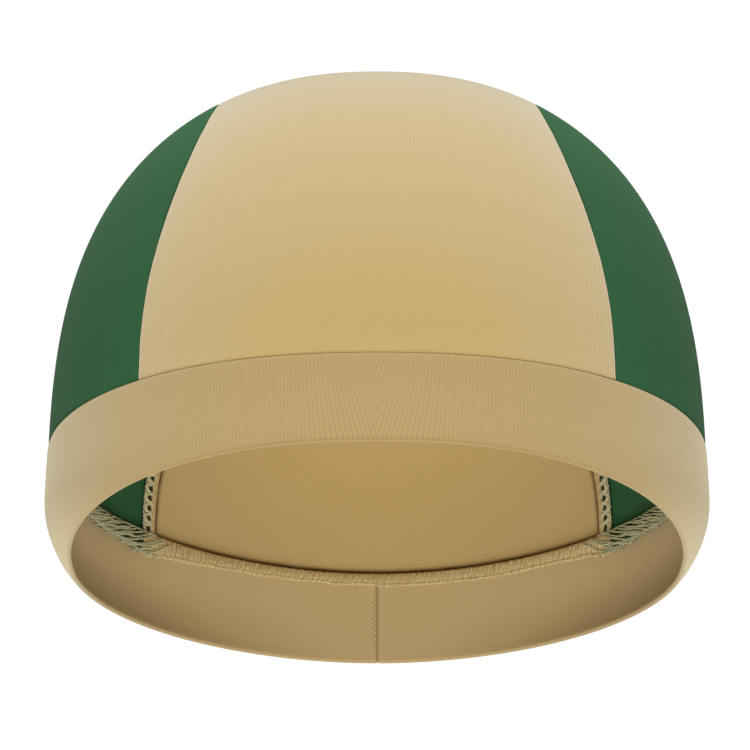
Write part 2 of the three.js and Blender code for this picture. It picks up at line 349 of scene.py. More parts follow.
tanLook = {
    "colour": (0.47, 0.295, 0.06),
    "roughness": 0.85,
    "gloss": 0.15,
    "sheen": 1.0,
    "sheenRoughness": 0.65,
    "sheenTint": (0.98, 1.0, 0.9),
    "wale": 0.00081,           # the width of a wale and the height of a course, in metres
    "course": 0.0006,
    "waleTone": 0.012,         # how much lighter and darker each detail makes the colour
    "frontTone": 0.02,
    "stitchTone": 0.006,
    "broadTone": 0.05,
    "broadScale": 16,
    "fineTone": 0.04,
    "fineScale": 1500,
    "fineDetail": 3,
    "creaseShadeColour": None,
    "fade": 0.045,             # the wales show less towards the sides, over this width
    "relief": 0.00003,
    "stitchHeight": 0.4,       # shares of the relief
    "ribHeight": 0.6,
}
tanInsideLook = {
    **tanLook,
    "colour": (0.61, 0.42, 0.165),
    "sheen": 0.15,
    "frontTone": 0.0,
    "waleTone": 0.006,
    "stitchTone": 0.0,
    # painted shade on the inner face beside the seams
    "creaseShadeColour": (0.125, 0.064, 0.015),
    "relief": 0.00001,
}
greenLook = {
    **tanLook,
    "colour": (0.021, 0.111, 0.038),
    "sheen": 0.04,
    "gloss": 0.1,
    "frontTone": 0.0,
    "waleTone": 0.02,
    "stitchTone": 0.015,
}
bandLook = {
    **tanLook,
    "colour": (0.40, 0.252, 0.078),
    "sheen": 0.75,
    "sheenTint": (1.0, 0.93, 0.68),
    "frontTone": 0.095,
    "fade": 0.055,
    # painted shade along the rim's fold and by the join, outside
    "creaseShadeColour": (0.21, 0.13, 0.04),
}
bandInsideLook = {
    **tanInsideLook,
    "colour": (0.60, 0.43, 0.20),
    "waleTone": 0.004,
    # painted shade along the rim's fold and by the join, inside
    "creaseShadeColour": (0.33, 0.22, 0.08),
}
threadLook = {
    "colour": (0.73, 0.56, 0.27),
    "roughness": 0.9,
    "gloss": 0.1,
    "sheen": 0.2,
    "sheenRoughness": 0.6,
    "sheenTint": (1.0, 0.98, 0.85),
    "broadTone": 0.2,
    "broadScale": 60,
    "fineTone": 0.3,
    "fineScale": 2500,
    "fineDetail": 3,
    "relief": 0.0001,
}
tanKnit = (knitMaterial("tanKnit", tanLook), knitMaterial("tanKnitInside", tanInsideLook))
greenKnit = (knitMaterial("greenKnit", greenLook), knitMaterial("greenKnitInside", greenLook))
bandKnit = (knitMaterial("bandKnit", bandLook), knitMaterial("bandKnitInside", bandInsideLook))
shadedLook = {**greenLook, "colour": (0.012, 0.052, 0.020)}
tanTurned = (tanKnit[1],) * 2  # the turned edges look the same on both faces
greenTurned = (knitMaterial("greenKnitShaded", shadedLook),) * 2
thread = threadMaterial("overlockThread", threadLook)
# the thread on the flap's green lengths, darker and greener: partly the green cloth seen through the thin
# thread, partly painted shade
shadedGreenishThread = threadMaterial("shadedGreenishThread", {**threadLook, "colour": (0.52, 0.50, 0.29)})
creamThread = threadMaterial("creamThread", {**threadLook, "colour": (0.64, 0.57, 0.33)})
print("materials made")

# The panels of the crown
panel = {
    "halfFront": 0.0542,       # half the tan panel's width at the brow, over the crown and at the nape
    "halfCrown": 0.0387,
    "halfNape": 0.061,
    "swing": 0.43,
    "cloth": 0.0010,
    "seamGap": 0.00008,
    "rollWidth": 0.0008,       # each cloth turns in at its seams
    "sideRoll": 0.0002,
    "lowRoll": 0.00015,
    "thinning": 0.65,          # pulled tight, the walls thin towards the seams over this reach
    "thinReach": 0.0013,
    "sideCreaseShade": 0.0028,      # and inside they get painted shade, darkest at the seam, over this reach
    "lowCreaseShade": 0.0019,
    "creaseShadeEdge": 0.0015,
    "creaseShadeUneven": 0.12,
    "creaseShadePitch": 0.004,
    "creaseShadeSeed": 61,
    "puckerPitch": 0.0016,
    "puckerDepth": 0.00007,
    "puckerReach": 0.004,
    "puckerSeed": 31,
    "shoulder": 0.2,           # the share of the seam that is an upright edge of a side panel's grid
    "centreGrid": (56, 104),
    "sideGrid": (92, 44),
}


def bandHeight(angle):
    c = np.cos(angle)
    middle = np.where(c > 0, band["front"], band["back"])
    return band["side"] + (middle - band["side"]) * c**2


def rimLevel(angle):
    c = np.cos(angle)
    return np.where(c > 0, band["browLift"] * c**2, 0)


def seamLevel(angle):
    return rimLevel(angle) + bandHeight(angle)


def crownEdge(angle):
    return around(angle, seamLevel(angle) + panel["seamGap"] / 2)


def cornerAngle(halfWidth, front):
    # the angle round the head where the crown's lower edge is this far from the middle line
    narrow, wide = (0.0 if front else math.pi), math.pi / 2
    for _ in range(halvings):
        middle = (narrow + wide) / 2
        if crownEdge(middle)[0] < halfWidth:
            narrow = middle
        else:
            wide = middle
    return narrow


def panelHalf(way):
    swing = np.clip(np.minimum(way, 1 - way) / panel["swing"], 0, 1)
    swing = swing**3 * (swing * (swing * 6 - 15) + 10)
    end = np.where(way < 0.5, panel["halfFront"], panel["halfNape"])
    return end + (panel["halfCrown"] - end) * swing


def seamPoint(way, side, across=0.0):
    # a panel seam, from the brow at 0 to the nape at 1, on the wearer's left if side is 1
    front = crownEdge(cornerAngle(panel["halfFront"], True))
    nape = crownEdge(cornerAngle(panel["halfNape"], False))
    frontTurn = math.atan2(front[2] - heart[2], -front[1])
    napeTurn = math.pi - math.atan2(nape[2] - heart[2], nape[1])
    turn = frontTurn + (napeTurn - frontTurn) * way
    level = np.zeros_like(way)
    starts = np.stack((panelHalf(way) + across, level, level + heart[2]), axis=1)
    out = np.stack((level, -np.cos(turn), np.sin(turn)), axis=1)
    return castOut(starts, out) * np.array((side, 1, 1))


def layOut(low, high, start, end):
    # a grid of points on the crown inside four edges
    u = gather(np.linspace(0, 1, len(low)))[:, None]
    v = gather(np.linspace(0, 1, len(start)))[:, None, None]
    grid = (1 - v) * low + v * high + (1 - u) * start[:, None] + u * end[:, None]
    grid = grid - (1 - v) * ((1 - u) * low[0] + u * low[-1]) - v * ((1 - u) * high[0] + u * high[-1])
    return ontoCrown(grid.reshape(-1, 3)).reshape(grid.shape)


def turnedIn(points, depths):
    # lets the cloth turn in at its start, end, low and high edges, with a slight pucker along them and
    # painted shade inside along them
    along = lengthsAlong(points, 1)
    up = lengthsAlong(points, 0)
    edges = (along, along[:, -1:] - along, up, up[-1:] - up)
    runs = (up, up, along, along)
    reaches = (panel["sideCreaseShade"], panel["sideCreaseShade"], panel["lowCreaseShade"], panel["lowCreaseShade"])
    uneven = panel["creaseShadeUneven"]
    depth = np.zeros(points.shape[:2])
    pucker = np.zeros(points.shape[:2])
    walls = np.ones(points.shape[:2])
    creaseShades = np.zeros(points.shape[:2])
    for k, (edge, run) in enumerate(zip(edges, runs)):
        roll = depths[k] * np.clip(1 - edge / panel["rollWidth"], 0, 1) ** 2
        depth = np.maximum(depth, roll)
        walls = np.minimum(walls, 1 - panel["thinning"] * smooth(1 - edge / panel["thinReach"]))
        # painted shade inside, darkest at each edge and a little uneven along it
        shade = smooth((reaches[k] - edge) / panel["creaseShadeEdge"])
        strength = 1 - uneven + uneven * wander(run, panel["creaseShadePitch"], panel["creaseShadeSeed"] + k)
        creaseShades = np.maximum(creaseShades, shade * strength)
        near = smooth(1 - edge / panel["puckerReach"])
        pucker = pucker + near * wander(run, panel["puckerPitch"], panel["puckerSeed"] + k)
    depth = depth + panel["puckerDepth"] * pucker
    normals = crownNormals(points.reshape(-1, 3)).reshape(points.shape)
    return points - normals * depth[..., None], walls, creaseShades


def centrePanel():
    across, up = panel["centreGrid"]
    frontAngle = cornerAngle(panel["halfFront"] - panel["seamGap"] / 2, True)
    napeAngle = cornerAngle(panel["halfNape"] - panel["seamGap"] / 2, False)
    u = gather(np.linspace(0, 1, across + 1))
    v = gather(np.linspace(0, 1, up + 1))
    low = crownEdge(frontAngle * (2 * u - 1))
    high = crownEdge(-napeAngle + (2 * napeAngle - 2 * math.pi) * u)
    right = seamPoint(v, -1, -panel["seamGap"] / 2)
    left = seamPoint(v, 1, -panel["seamGap"] / 2)
    points = layOut(low, high, right, left)
    along = lengthsAlong(points, 1)
    middle = along.shape[1] // 2
    knit = np.stack((along - along[:, middle : middle + 1], lengthsAlong(points, 0)), axis=-1)
    depths = (panel["sideRoll"], panel["sideRoll"], panel["lowRoll"], panel["lowRoll"])
    points, walls, creaseShades = turnedIn(points, depths)
    piece = clothPiece("centre_panel_cloth", points, knit, tanKnit, panel["cloth"], 1, walls, creaseShades)
    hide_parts("centre_panel")
    return piece


def sidePanel(side, name):
    across, up = panel["sideGrid"]
    gap, shoulder = panel["seamGap"] / 2, panel["shoulder"]
    frontAngle = cornerAngle(panel["halfFront"] + gap, True)
    napeAngle = cornerAngle(panel["halfNape"] + gap, False)
    u = gather(np.linspace(0, 1, across + 1))
    v = gather(np.linspace(0, 1, up + 1))
    low = crownEdge(side * (frontAngle + (napeAngle - frontAngle) * u))
    high = seamPoint(shoulder + (1 - 2 * shoulder) * u, side, gap)
    start = seamPoint(shoulder * v, side, gap)
    end = seamPoint(1 - shoulder * v, side, gap)
    points = layOut(low, high, start, end)
    knit = np.stack((lengthsAlong(points, 1), lengthsAlong(points, 0)), axis=-1)
    depths = (panel["sideRoll"], panel["sideRoll"], panel["lowRoll"], panel["sideRoll"])
    points, walls, _ = turnedIn(points, depths)
    if side < 0:               # its columns run to the right as seen from outside, too
        points, knit, walls = points[:, ::-1], knit[:, ::-1], walls[:, ::-1]
    piece = clothPiece(f"{name}_cloth", points, knit, greenKnit, panel["cloth"], 1, walls)
    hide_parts(name)
    return piece


# The doubled band
band = {
    "front": 0.021,            # its height at the brow, over the ears and at the nape
    "side": 0.0282,
    "back": 0.0256,
    "browLift": 0.0097,
    "thick": 0.0016,
    "fullness": 0.0004,
    "cloth": 0.00066,
    "columns": 270,
    "from": 0.10,              # each layer starts at this share of the height, and spans this much
    "span": 0.88,
    "layerRows": 17,
    "layerGather": 0.5,
    "foldRows": 9,
    "innerFold": 4,            # so many steps of the fold are seen from inside
    "tuck": ((0.0, -0.0008), (-0.0001, -0.0013)),  # its top edge: rise and place, behind the crown
    "topGap": -0.00006,
    "endGap": 0.0007,          # half the gap between its two ends, as an angle
    "joinRoll": 0.0009,
    "joinDepth": 0.0003,
    "joinCreaseShade": 0.0006,
    "foldCreaseShade": 0.5,
    "joinFold": 0.005,         # the join's folded edge inside, towards the wearer's right
    "joinFoldHeight": 0.0004,
    "lean": 0.24,              # the wales lean to the middle of the front, within this reach of it
    "leanReach": 0.012,
}
bandFaces = {                  # the band's section: shares of its height, fullness and thickness
    "up": (0.0, 0.14, 0.34, 0.56, 0.78, 0.94, 1.0),
    "bulge": (0.3, 0.55, 0.94, 1.0, 0.8, 0.55, 0.5),
    "thick": (0.84, 0.94, 1.0, 1.0, 0.98, 0.95, 0.88),
}


def bandFace(up):
    # how far the band's outer and inner faces stand out from the crown's outer face
    bulge = np.interp(up, bandFaces["up"], bandFaces["bulge"]) * band["fullness"]
    half = np.interp(up, bandFaces["up"], bandFaces["thick"]) * band["thick"] / 2
    middle = bulge - band["thick"] / 2
    return middle + half, middle - half


def bandSection():
    # the folded cloth's middle line, from the top inside to the tucked top outside: its share of
    # the band's height, its rise over that in metres, and how far it stands out
    half = band["cloth"] / 2
    radius = bandFaces["thick"][0] * band["thick"] / 2 - half
    ups = band["from"] + band["span"] * gather(np.linspace(0, 1, band["layerRows"]), band["layerGather"])
    outer, inner = bandFace(ups)
    fold = bandFace(0.0)[0] - band["thick"] / 2
    turns = np.linspace(-math.pi / 2, math.pi / 2, band["foldRows"])
    rows = [(up, 0.0, out + half) for up, out in zip(ups[::-1], inner[::-1])]
    rows += [(0.0, radius * (1 - math.cos(t)) + half, fold + radius * math.sin(t)) for t in turns]
    rows += [(up, 0.0, out - half) for up, out in zip(ups, outer)]
    rows += [(1.0, rise, out) for rise, out in band["tuck"]]
    return np.array(rows)


def clothBand():
    u = gather(np.linspace(0, 1, band["columns"] + 1))
    angle = (math.pi - band["endGap"]) * (2 * u - 1)
    section = bandSection()
    rows = []
    for up, rise, out in section:
        level = rimLevel(angle) + up * bandHeight(angle) + rise - up * band["topGap"]
        base = around(angle, level)
        rows.append(base + crownNormals(base) * out)
    points = np.array(rows)
    along = lengthsAlong(points, 1)
    edge = np.minimum(along, along[:, -1:] - along)
    roll = band["joinDepth"] * np.clip(1 - edge / band["joinRoll"], 0, 1) ** 2
    fold = 1 - along / band["joinFold"]
    ridge = band["joinFoldHeight"] * np.sqrt(np.clip(fold, 0, 1)) * smooth(along / band["joinRoll"])
    inside = np.arange(len(section)) < len(section) // 2
    shift = np.where(inside[:, None], roll - ridge, -roll)
    base = around(angle, rimLevel(angle) + bandHeight(angle) / 2)
    points = points + crownNormals(base) * shift[..., None]
    up = lengthsAlong(points, 0)
    fromFront = along - along[:, -1:] / 2
    leaning = band["lean"] * (up[-1:] - up) * np.exp(-((fromFront / band["leanReach"]) ** 2))
    knit = np.stack((np.abs(fromFront) + leaning, up), axis=-1)
    # painted shade at the band's two ends, in the gap at the join
    creaseShades = smooth(1 - edge / band["joinCreaseShade"])
    # painted shade along the fold at the rim, darkest at its bottom
    turning = np.flatnonzero(section[:, 0] == 0)
    shade = np.zeros(len(section))
    shade[turning] = band["foldCreaseShade"] * np.sin(np.linspace(0, math.pi, len(turning)))
    creaseShades = np.maximum(creaseShades, shade[:, None])
    innerRows = turning[band["innerFold"]] + 1
    piece = clothPiece("band_cloth", points, knit, bandKnit, band["cloth"], 1, None, creaseShades, innerRows)
    piece.modifiers["thickness"].offset = 0
    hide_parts("band")
    return piece


# Seams inside the cap: a seam is a grid of places on the crown's outer face, by the distance along
# it and across it, with the face's normals
def newSeam(near, face, across):
    steps = np.linalg.norm(np.diff(near, axis=0), axis=1)
    normals = crownNormals(face.reshape(-1, 3)).reshape(face.shape)
    along = np.concatenate(((0,), np.cumsum(steps)))
    return {"along": along, "across": across, "face": face, "normals": normals}


def onSeam(seam, along, across, depth):
    along, across, depth = np.broadcast_arrays(along, across, depth)
    spots = []
    for places, wanted in ((seam["along"], along), (seam["across"], across)):
        k = np.clip(np.searchsorted(places, wanted) - 1, 0, len(places) - 2)
        spots.append((k, (wanted - places[k]) / (places[k + 1] - places[k])))
    (i, a), (j, b) = spots
    shares = ((0, 0, (1 - a) * (1 - b)), (1, 0, a * (1 - b)), (0, 1, (1 - a) * b), (1, 1, a * b))
    place = 0
    for di, dj, share in shares:
        corner = seam["face"][i + di, j + dj] - seam["normals"][i + di, j + dj] * depth[..., None]
        place = place + corner * share[..., None]
    return place


def finerRows(rows, count):
    # a strip's rows laid out anew: their shares of the way, places across the seam and depths
    rows = np.array(rows)
    fine = np.linspace(0, 1, count)
    shares = np.linspace(0, 1, len(rows))
    across = np.interp(fine, shares, rows[:, 0])
    depth = np.interp(fine, shares, rows[:, 1])
    return fine[:, None], across[:, None], depth[:, None]


def strip(name, seam, along, rows, depths, material, thickness, flip=False):
    # a strip of cloth along a seam, as rows of distances across it and depths below the outer face
    points = onSeam(seam, along, rows, depths)
    knit = np.stack((lengthsAlong(points, 0), lengthsAlong(points, 1)), axis=-1)
    if flip:
        points, knit = points[:, ::-1], knit[:, ::-1]
    return clothPiece(name, points, knit, material, thickness, fine=0)


# The strands of the threads, which bend over this pitch, and less in depth than sideways
strands = {"pitch": 0.0011, "longPitch": 0.003, "inDepth": 0.6, "seedStep": 7}


def filaments(seam, along, across, depth, count, spread, seed, pitch=strands["pitch"]):
    # a fluffy thread: a few strands that keep loosely beside each other
    lines = []
    run = np.concatenate(((0,), np.cumsum(np.abs(np.diff(along)) + np.abs(np.diff(across)))))
    for k in range(count):
        first = seed + strands["seedStep"] * k
        sway = [spread * wander(run, pitch, first + axis) for axis in range(3)]
        lines.append(onSeam(seam, along + sway[0], across + sway[1], depth + strands["inDepth"] * sway[2]))
    return lines


def chainThreads(seam, chain, start, pitch, turn, seed, corners=None):
    # two threads looped round each other along an allowance's edge, or the flap's, whose width
    # depends on its corners
    lines = []
    swing = 2 * math.pi * turn
    for k, phase in enumerate((0.0, math.pi)):
        along = start + pitch * (turn + chain["sway"] * np.sin(2 * swing + phase))
        width = 1 if corners is None else flapWidth(along, corners)
        across = (chain["across"] + chain["swing"] * np.cos(swing + phase)) * width
        depth = chain["depth"] + chain["rise"] * np.sin(swing + phase)
        first = seed + chain["seedStep"] * k
        lines += filaments(seam, along, across, depth, chain["strands"], chain["spread"], first)
    return lines


# The allowances of the two panel seams, which lie against the green cloth
allowance = {
    "places": 241,
    "margin": 0.001,           # the share of the seam that is left out at each end
    "across": (-0.001, 0.0065, 16),  # the seam's places across: the first, the last and how many
    "pitch": 0.0027,           # one overlock stitch
    "reach": 0.0052,
    "greenCloth": 0.0006,
    "tanCloth": 0.0005,
    "columnsPerStitch": 5,
    "clothRows": 13,
    "ripple": 0.00008,
    "ripplePitch": 0.004,
    "rippleSeed": 5,
    "greenRows": ((0.0003, 0.0008), (0.0006, 0.0014), (0.0024, 0.00155), (0.0044, 0.0015), (0.0052, 0.0012)),
    "tanRows": (
        (0.0004, 0.0006),
        (0.0001, 0.0010),
        (-0.0002, 0.0015),
        (0.0001, 0.0019),
        (0.0008, 0.0021),
        (0.0016, 0.0020),
        (0.0021, 0.0017),
    ),
}
ladder = {                     # the looped thread over each allowance
    "radius": 0.00012,
    "stepsPerStitch": 8,
    "trim": (3, 2),            # steps left off at the brow and at the nape
    "strands": 16,
    "spread": 0.00026,
    "bundled": (0.7, 0.95),    # how close the strands come together between the needle holes
    "offset": 0.12,
    "uneven": 0.0014,          # some strands reach less far, by up to this much
    "needleLine": 0.0020,      # the row of needle holes, across the seam
    "power": 0.7,
    "arch": ((0.0009, 0.0022), (0.0023, 0.0021), (0.0030, 0.0018), (0.0052, 0.0016)),
    "seed": 40,
    "seedStep": 10,
    "seedOfReaches": 20,
    "needleThread": {"across": 0.0021, "swing": 0.00015, "depth": 0.00215, "strands": 6, "spread": 0.0002},
    "needleSeed": 140,
    "chain": {
        "across": 0.0048,
        "swing": 0.00042,
        "sway": 0.18,
        "depth": 0.0017,
        "rise": 0.00025,
        "strands": 3,
        "spread": 0.00012,
        "seedStep": 9,
    },
    "chainSeed": 160,
}


def panelSeam(side):
    margin = allowance["margin"]
    way = np.linspace(margin, 1 - margin, allowance["places"])
    near = seamPoint(way, side)
    tangents = np.gradient(near, axis=0)
    outwards = np.cross(tangents, crownNormals(near))
    outwards = outwards / np.linalg.norm(outwards, axis=1, keepdims=True)
    outwards = outwards * np.sign(outwards[:, :1] * side)
    across = np.linspace(*allowance["across"])
    places = near[:, None] + outwards[:, None] * across[None, :, None]
    face = ontoCrown(places.reshape(-1, 3)).reshape(places.shape)
    return newSeam(near, face, across)


def ladderThreads(seam, side, pitch, stitches):
    turn = np.arange(stitches * ladder["stepsPerStitch"] + 1) / ladder["stepsPerStitch"]
    swing = 2 * math.pi * turn
    bend = np.sin(swing)
    width = allowance["reach"]
    needleLine = ladder["needleLine"]
    arch = np.array(ladder["arch"])
    loosest, tightest = ladder["bundled"]
    lows = (loosest, -ladder["offset"], width - ladder["uneven"])
    highs = (tightest, ladder["offset"], width)
    rng = np.random.default_rng(ladder["seedOfReaches"] + side)
    lines = []
    for k in range(ladder["strands"]):
        # each strand crosses in its own way, and arches over the needle holes
        bundled, offset, reach = rng.uniform(lows, highs)
        looped = pitch * (turn + offset - bundled * bend / (2 * math.pi))
        across = needleLine + (reach - needleLine) * (0.5 - 0.5 * np.cos(swing)) ** ladder["power"]
        depth = np.interp(across, arch[:, 0], arch[:, 1])
        seed = ladder["seed"] + ladder["seedStep"] * k + side
        lines += filaments(seam, looped, across, depth, 1, ladder["spread"], seed)
    needle = ladder["needleThread"]
    across = needle["across"] + needle["swing"] * np.cos(swing)
    depth = needle["depth"] + 0 * turn
    seed = ladder["needleSeed"] + side
    lines += filaments(seam, pitch * turn, across, depth, needle["strands"], needle["spread"], seed)
    lines += chainThreads(seam, ladder["chain"], 0, pitch, turn, ladder["chainSeed"] + side)
    first, last = ladder["trim"]
    return [line[first:-last] for line in lines]


def panelAllowance(side, name):
    seam = panelSeam(side)
    length = seam["along"][-1]
    stitches = int(length / allowance["pitch"])
    pitch = length / stitches
    along = np.linspace(0, length, stitches * allowance["columnsPerStitch"] + 1)
    bumps = np.cos(along / pitch * 2 * math.pi)
    loose = wander(along, allowance["ripplePitch"], allowance["rippleSeed"] + side)
    made = []
    for word, colour, material in (("edge", "green", greenTurned), ("turning", "tan", tanTurned)):
        fine, out, depth = finerRows(allowance[f"{colour}Rows"], allowance["clothRows"])
        ripple = smooth(fine * 2) * (allowance["ripple"] * bumps + allowance["ripple"] * loose)
        thickness = allowance[f"{colour}Cloth"]
        flip = side < 0
        rows, depths = out + ripple, depth + ripple
        made.append(strip(f"{name}_{word}", seam, along, rows, depths, material, thickness, flip))
    lines = ladderThreads(seam, side, pitch, stitches)
    made.append(threadPiece(f"{name}_threads", lines, ladder["radius"], creamThread))
    for piece, slot in zip(made, ("green_knit", "tan_knit", "overlock_thread")):
        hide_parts(name)
    return made


# The allowance of the band's seam, which hangs down over the band's inner face
flap = {
    "places": 721,
    "across": (-0.0015, 0.0085, 15),
    "pitch": 0.0026,
    "columnsPerStitch": 5,
    "cloth": 0.0007,
    "clothRows": 15,
    "ripple": 0.00007,
    "rows": (                  # below the seam, and below the crown's outer face
        (0.0014, 0.0008),
        (0.0007, 0.0010),
        (0.0002, 0.0014),
        (-0.0002, 0.0019),
        (0.0002, 0.0024),
        (0.0010, 0.0027),
        (0.0022, 0.00285),
        (0.0034, 0.0028),
        (0.0042, 0.0025),
    ),
    "topRow": 3,               # from this row on it faces inwards
    "width": 0.86,             # its width as a share of the rows
    "uneven": ((0.12, 0.03, 3), (0.06, 0.006, 4)),  # and by how much that varies: amount, pitch, seed
    "atCorners": 0.4,
    "cornerReach": 0.013,
    "onSides": 0.3,
    "sideEase": 0.01,
    "overlap": 0.0035,         # how far the tan cloth goes on past a corner
    "slant": 0.004,            # and how much farther it goes at its lower edge
    "stretch": 1.15,           # the sewn length as a share of the cut one
    "foldedWidth": 0.0064,     # of the whole strip round its roll, at full width
    "radius": 0.0001,
}
strokes = {                    # the slanting strokes on the tan cloth
    "pitch": 0.0009,
    "ends": (0.0002, 0.0012),  # how far they keep from both ends of the cloth
    "points": 9,
    "slant": 0.0010,
    "uneven": 0.0002,
    "from": 0.0006,
    "across": 0.0037,
    "above": 0.00012,          # they stand off the cloth
    "tuck": 0.0004,            # they sink in at their lower ends
    "tuckPower": 6,
    "strands": 6,
    "spread": 0.0003,
    "seed": 100,
    "seedStep": 40,
}
floats = {                     # the long threads on the green cloth
    "pitch": 0.0030,
    "run": 0.020,              # each runs this far along while it crosses the flap
    "lead": 0.9,               # the first starts this share of a run before the corner
    "points": 17,
    "startSpread": 1.5,        # their starts lie round the corner, by this share of the overlap
    "startBefore": 0.0015,
    "from": 0.0001,
    "across": 0.0042,
    "power": 0.9,
    "uneven": 0.0003,
    "unevenPitch": 0.005,
    "unevenSeed": 70,
    "above": 0.0002,
    "strands": 10,
    "spread": 0.00036,
    "fan": (0.5, 0.8),         # the spread's share at the start, and how much it grows
    "seed": 5000,
    "seedStep": 60,
    "edge": {"points": 60, "across": 0.0001, "depth": 0.0024, "strands": 6, "spread": 0.00022, "seed": 4900},
}
flapChain = {                  # the looped threads along the flap's lower edge
    "stepsPerStitch": 12,
    "across": 0.0039,
    "swing": 0.0003,
    "sway": 0.18,
    "depth": 0.0027,
    "rise": 0.00025,
    "strands": 6,
    "spread": 0.00012,
    "seedStep": 9,
    "seed": 900,
    "seedPerLength": 30,
}


def bandSeam():
    angle = np.linspace(-math.pi, math.pi, flap["places"])
    across = np.linspace(*flap["across"])
    near = around(angle, seamLevel(angle))
    face = around(angle[:, None], seamLevel(angle)[:, None] - across[None])
    seam = newSeam(near, face, across)
    seam["angle"] = angle
    return seam


def flapWidth(along, corners):
    # the flap's width at a place: uneven, fuller at the four corners of the panels and at the sides
    width = flap["width"]
    for amount, pitch, seed in flap["uneven"]:
        width = width + amount * wander(along, pitch, seed)
    sides = 0
    for corner, way in zip(corners, (1, -1, 1, -1)):
        width = width + flap["atCorners"] * np.exp(-(((along - corner) / flap["cornerReach"]) ** 2))
        sides = sides + way * smooth((along - corner) / flap["sideEase"] + 0.5)
    return width + flap["onSides"] * sides


def flapDepth(across):
    rows = np.array(flap["rows"][flap["topRow"] :])
    return np.interp(across, rows[:, 0], rows[:, 1])


def overlockStrokes(seam, start, end, corners):
    lines = []
    share = np.linspace(0, 1, strokes["points"])
    after, before = strokes["ends"]
    for k, place in enumerate(np.arange(start + after, end - before, strokes["pitch"])):
        along = place + strokes["slant"] * share + strokes["uneven"] * math.sin(k * unevenTurn)
        across = strokes["from"] + strokes["across"] * share
        depth = flapDepth(across) + strokes["above"] - strokes["tuck"] * share ** strokes["tuckPower"]
        across = across * flapWidth(along, corners)
        seed = strokes["seed"] + strokes["seedStep"] * k
        lines += filaments(seam, along, across, depth, strokes["strands"], strokes["spread"], seed)
    return lines


def overlockFloats(seam, corner, reach, corners):
    # from a corner of the panels, each thread on the stretched side runs a long way while it
    # crosses the flap
    lines = []
    way, reach = math.copysign(1, reach), abs(reach)
    share = np.linspace(0, 1, floats["points"])
    longPitch = strands["longPitch"]
    narrow, growth = floats["fan"]
    for k, place in enumerate(np.arange(-floats["lead"] * floats["run"], reach, floats["pitch"])):
        run = place + floats["run"] * share
        start = floats["startSpread"] * flap["overlap"] * math.sin(k * unevenTurn) - floats["startBefore"]
        kept = (run > start) & (run < reach)
        if kept.sum() < 3:     # too short to show
            continue
        along = corner + way * run[kept]
        bends = wander(run[kept] + floats["run"], floats["unevenPitch"], floats["unevenSeed"] + k)
        across = floats["from"] + floats["across"] * share[kept] ** floats["power"] + floats["uneven"] * bends
        depth = flapDepth(across) + floats["above"]
        across = across * flapWidth(along, corners)
        spread = floats["spread"] * (narrow + growth * share[kept])
        seed = floats["seed"] + floats["seedStep"] * k
        lines += filaments(seam, along, across, depth, floats["strands"], spread, seed, longPitch)
    # one more lies along the crown's edge, over their ends
    edge = floats["edge"]
    run = np.linspace(0, reach, edge["points"])
    across, depth = edge["across"] + 0 * run, edge["depth"] + 0 * run
    along = corner + way * run
    lines += filaments(seam, along, across, depth, edge["strands"], edge["spread"], edge["seed"], longPitch)
    return lines


def overlockChain(seam, start, end, corners, seed):
    count = int((end - start) / flap["pitch"]) * flapChain["stepsPerStitch"]
    turn = np.arange(count + 1) / flapChain["stepsPerStitch"]
    return chainThreads(seam, flapChain, start, flap["pitch"], turn, seed, corners)


def flapCloth(seam, name, start, end, ends, tan):
    # one length of the flap's cloth, and its mean width as a share of the rows
    corners = ends[1:5]
    fine, out, depth = finerRows(flap["rows"], flap["clothRows"])
    slant = fine * (flap["slant"] if tan else -flap["slant"])
    first = start - slant * (start > ends[0])
    last = end + slant * (end < ends[5])
    count = int((end - start) / flap["pitch"])
    along = first + (last - first) * np.linspace(0, 1, count * flap["columnsPerStitch"] + 1)
    width = flapWidth(along, corners)
    ripple = flap["ripple"] * np.cos(along / flap["pitch"] * 2 * math.pi) * smooth(fine * 2)
    material = tanTurned if tan else greenTurned
    cloth = strip(name, seam, along, out * width + ripple, depth + ripple, material, flap["cloth"])
    return cloth, float(np.mean(width))


def bandAllowance():
    seam = bandSeam()
    frontAngle = cornerAngle(panel["halfFront"], True)
    napeAngle = cornerAngle(panel["halfNape"], False)
    turns = (-math.pi, -napeAngle, -frontAngle, frontAngle, napeAngle, math.pi)
    ends = np.interp(turns, seam["angle"], seam["along"])
    corners = ends[1:5]
    more = flap["overlap"]
    lengths = (
        ("back_right", ends[0], ends[1] + more, "tan_knit"),
        ("right", ends[1] + more, ends[2] - more, "green_knit"),
        ("front", ends[2] - more, ends[3] + more, "tan_knit"),
        ("left", ends[3] + more, ends[4] - more, "green_knit"),
        ("back_left", ends[4] - more, ends[5], "tan_knit"),
    )
    made = []
    for k, (word, start, end, slot) in enumerate(lengths):
        tan = slot == "tan_knit"
        cloth, width = flapCloth(seam, f"band_seam_{word}_edge", start, end, ends, tan)
        if tan:
            lines = overlockStrokes(seam, start, end, corners)
        else:
            middle = (start + end) / 2
            lines = overlockFloats(seam, start - more, middle - start + more, corners)
            lines += overlockFloats(seam, end + more, middle - end - more, corners)
        seed = flapChain["seed"] + flapChain["seedPerLength"] * k
        lines += overlockChain(seam, start, end, corners, seed)
        tone = thread if tan else shadedGreenishThread
        threads = threadPiece(f"band_seam_{word}_threads", lines, flap["radius"], tone)
        made += [cloth, threads]
    for piece in made:
        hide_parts("band_seam")
    return made


# The stitches along the band's join, inside
join = {
    "pitch": 0.0015,
    "from": 0.0012,
    "to": 0.0205,
    "stepsPerStitch": 10,
    "sideways": -0.0009,
    "swing": 0.0005,
    "above": 0.00002,
    "radius": 0.00008,
    "strands": 3,
    "spread": 0.0001,
    "seed": 77,
    "levels": 40,
    "across": (-0.003, 0.001, 9),
}


